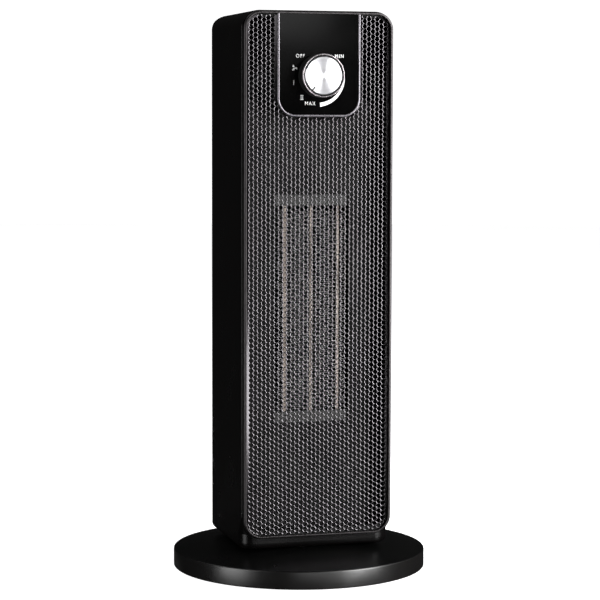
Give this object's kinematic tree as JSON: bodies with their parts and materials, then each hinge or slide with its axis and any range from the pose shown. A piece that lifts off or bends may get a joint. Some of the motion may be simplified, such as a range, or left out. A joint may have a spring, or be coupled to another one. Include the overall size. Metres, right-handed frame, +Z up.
{
  "type": "fan convector heater",
  "caption": "Tower fan heater with a honeycomb front grille and rotary control, turning on a round domed foot.",
  "frame": {"origin": "centre of the round foot, on the surface it stands on", "axes": "+Z up, the grille faces -Y, +X to the viewer's right when looking at the grille"},
  "size_m": [0.25, 0.25, 0.547],
  "materials": {
    "gloss_black": "high gloss",
    "satin_black": "satin moulded",
    "frame_black": "fine texture",
    "bezel_grey": "satin metallic",
    "grille_black": "gloss black enamel",
    "rim_silver": "satin",
    "knob_silver": "bright edge",
    "spun_aluminium": "spun",
    "steel": "zinc plated",
    "sheet_steel": "galvanised",
    "lamination": "stacked laminations",
    "winding": "enamelled copper",
    "fin_aluminium": "mill finish",
    "strip_aluminium": "mill finish",
    "element_plastic": "heat-proof moulding",
    "nylon": "moulded",
    "rubber_black": "matt",
    "insulation": "wire insulation",
    "brass": "plain",
    "wheel_aluminium": "mill finish"
  },
  "bodies": {
    "base": {"foot_cover": "gloss_black", "foot_plate": "frame_black", "foot_screws": "steel", "rubber_feet": "rubber_black", "cord_gland": "rubber_black", "pivot_post": "steel", "thrust_washer": "nylon", "ring_gear": "nylon", "retaining_ring": "steel", "tip_switch": "frame_black", "foot_terminal_block": "nylon", "foot_wiring": "insulation"},
    "tip_plunger": {"tip_plunger": "nylon"},
    "tower": {"main_casing": "satin_black", "rear_cover": "satin_black", "cover_screws": "steel", "tower_floor": "frame_black", "oscillation_motor": "sheet_steel", "oscillation_screws": "steel", "bezel_trim": "bezel_grey", "front_frame": "frame_black", "front_grille": "grille_black", "control_panel": "gloss_black", "panel_trim": "rim_silver", "selector_switch": "frame_black", "fin_banks": "fin_aluminium", "heating_strips": "strip_aluminium", "element_frame_low": "element_plastic", "element_frame_top": "element_plastic", "element_terminals": "brass", "element_duct": "sheet_steel", "air_baffle": "frame_black", "thermal_cutout": "frame_black", "thermal_fuse": "steel", "blower_scroll": "sheet_steel", "blower_tongue": "sheet_steel", "blower_plate_low": "sheet_steel", "blower_plate_top": "sheet_steel", "motor_stator": "lamination", "motor_coil": "winding", "motor_bracket_low": "sheet_steel", "motor_bracket_top": "sheet_steel", "motor_screws": "steel", "motor_spacers": "steel", "top_bearing": "brass", "top_bearing_rubber": "rubber_black", "rocker_housing": "frame_black", "supply_wiring": "insulation", "heater_wiring": "insulation", "motor_wiring": "insulation"},
    "knob": {"knob_body": "knob_silver", "knob_face": "spun_aluminium", "selector_shaft": "nylon"},
    "pinion": {"oscillation_pinion": "nylon"},
    "impeller": {"impeller_wheel": "wheel_aluminium", "impeller_shaft": "steel", "motor_rotor": "lamination"},
    "rocker": {"oscillation_rocker": "gloss_black"}
  },
  "joints": [
    {"name": "oscillate", "type": "hinge", "parent": "base", "child": "tower", "pos_m": [0, 0, 0], "axis": [0, 0, 1], "range_deg": [-35, 35]},
    {"name": "pinion_turn", "type": "hinge", "parent": "tower", "child": "pinion", "pos_m": [0, 0.035, 0], "axis": [0, 0, 1], "range_deg": [-141, 141]},
    {"name": "impeller_spin", "type": "hinge", "parent": "tower", "child": "impeller", "pos_m": [0, 0.022, 0], "axis": [0, 0, 1], "continuous": true},
    {"name": "knob_turn", "type": "hinge", "parent": "tower", "child": "knob", "pos_m": [0, -0.075, 0.4851], "axis": [0, 1, 0], "range_deg": [-179, 90]},
    {"name": "rocker_tilt", "type": "hinge", "parent": "tower", "child": "rocker", "pos_m": [0, 0.062, 0.1], "axis": [1, 0, 0], "range_deg": [-18, 0]},
    {"name": "plunger_slide", "type": "slide", "parent": "base", "child": "tip_plunger", "axis": [0, 0, -1], "range_m": [0, 0.004], "stiffness_N_per_m": 60, "springref_m": 0.008}
  ],
  "couplings": [
    {"joint": "pinion_turn", "follows": "oscillate", "ratio": 4}
  ]
}
